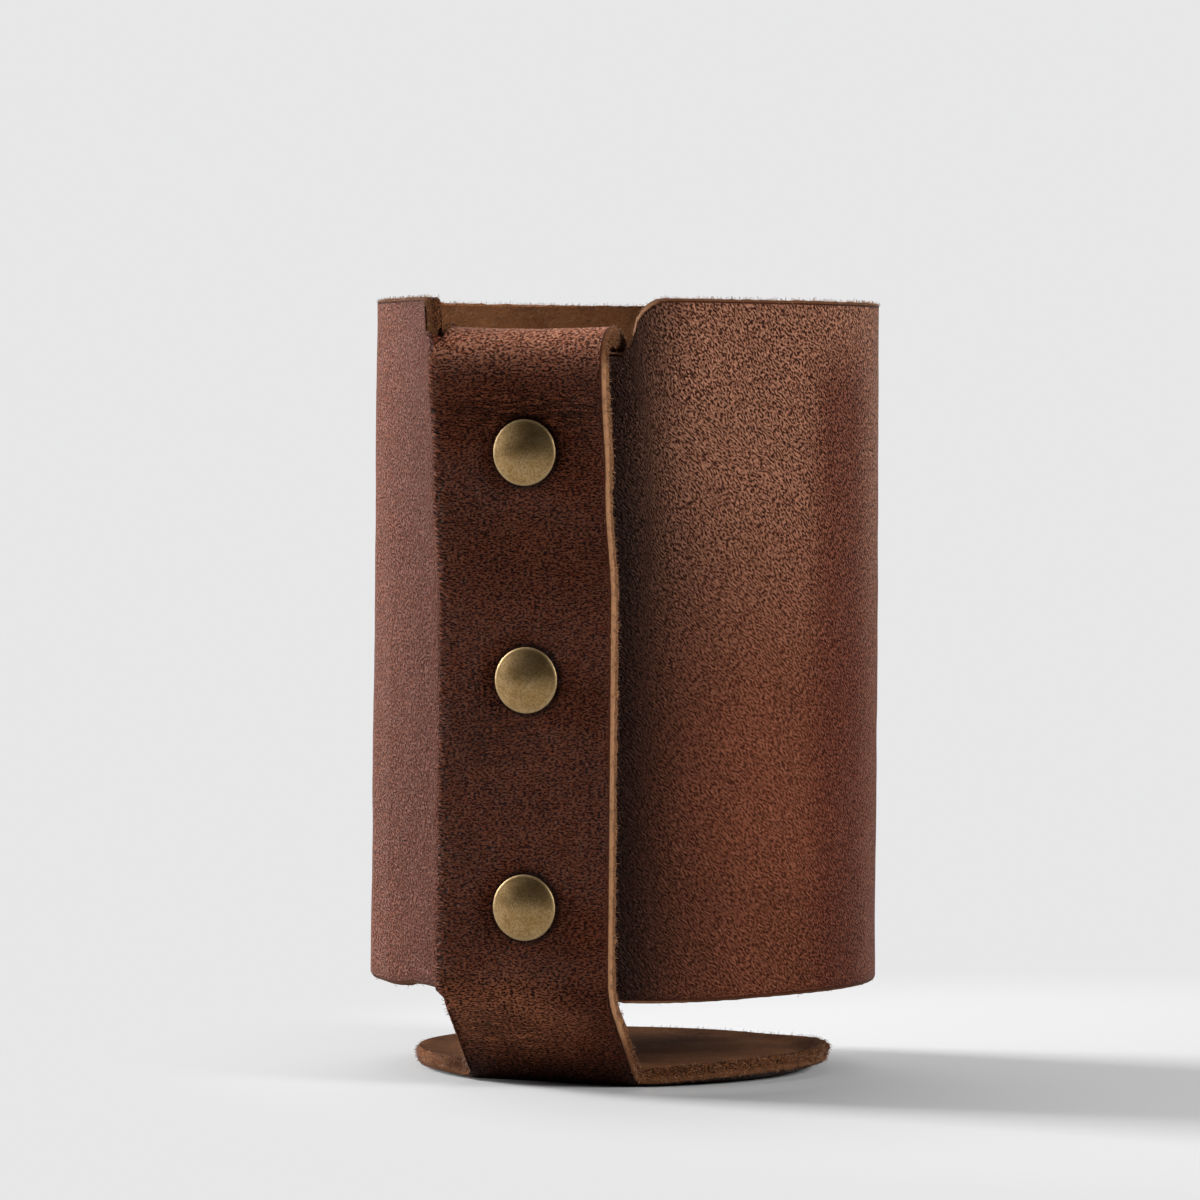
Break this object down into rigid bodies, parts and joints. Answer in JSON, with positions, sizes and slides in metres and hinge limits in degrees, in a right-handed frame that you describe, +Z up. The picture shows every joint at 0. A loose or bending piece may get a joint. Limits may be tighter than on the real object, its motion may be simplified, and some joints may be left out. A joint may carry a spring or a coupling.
{
  "type": "can cooler sleeve",
  "caption": "Brown leather can cooler sleeve with a round base, a folded front strip and a column of brass rivets.",
  "frame": {"origin": "on the floor under the round base, on the sleeve's axis", "axes": "+Z up along the sleeve's axis, the riveted front strip faces -Y"},
  "size_m": [0.071, 0.078, 0.1076],
  "materials": {
    "leather": "oiled full grain, worn",
    "brass": "antique, satin"
  },
  "bodies": {
    "root": {"leather_sleeve": "leather", "rivet_cap_bottom": "brass", "rivet_cap_middle": "brass", "rivet_cap_top": "brass", "rivet_post_bottom": "brass", "rivet_post_middle": "brass", "rivet_post_top": "brass"}
  },
  "joints": []
}
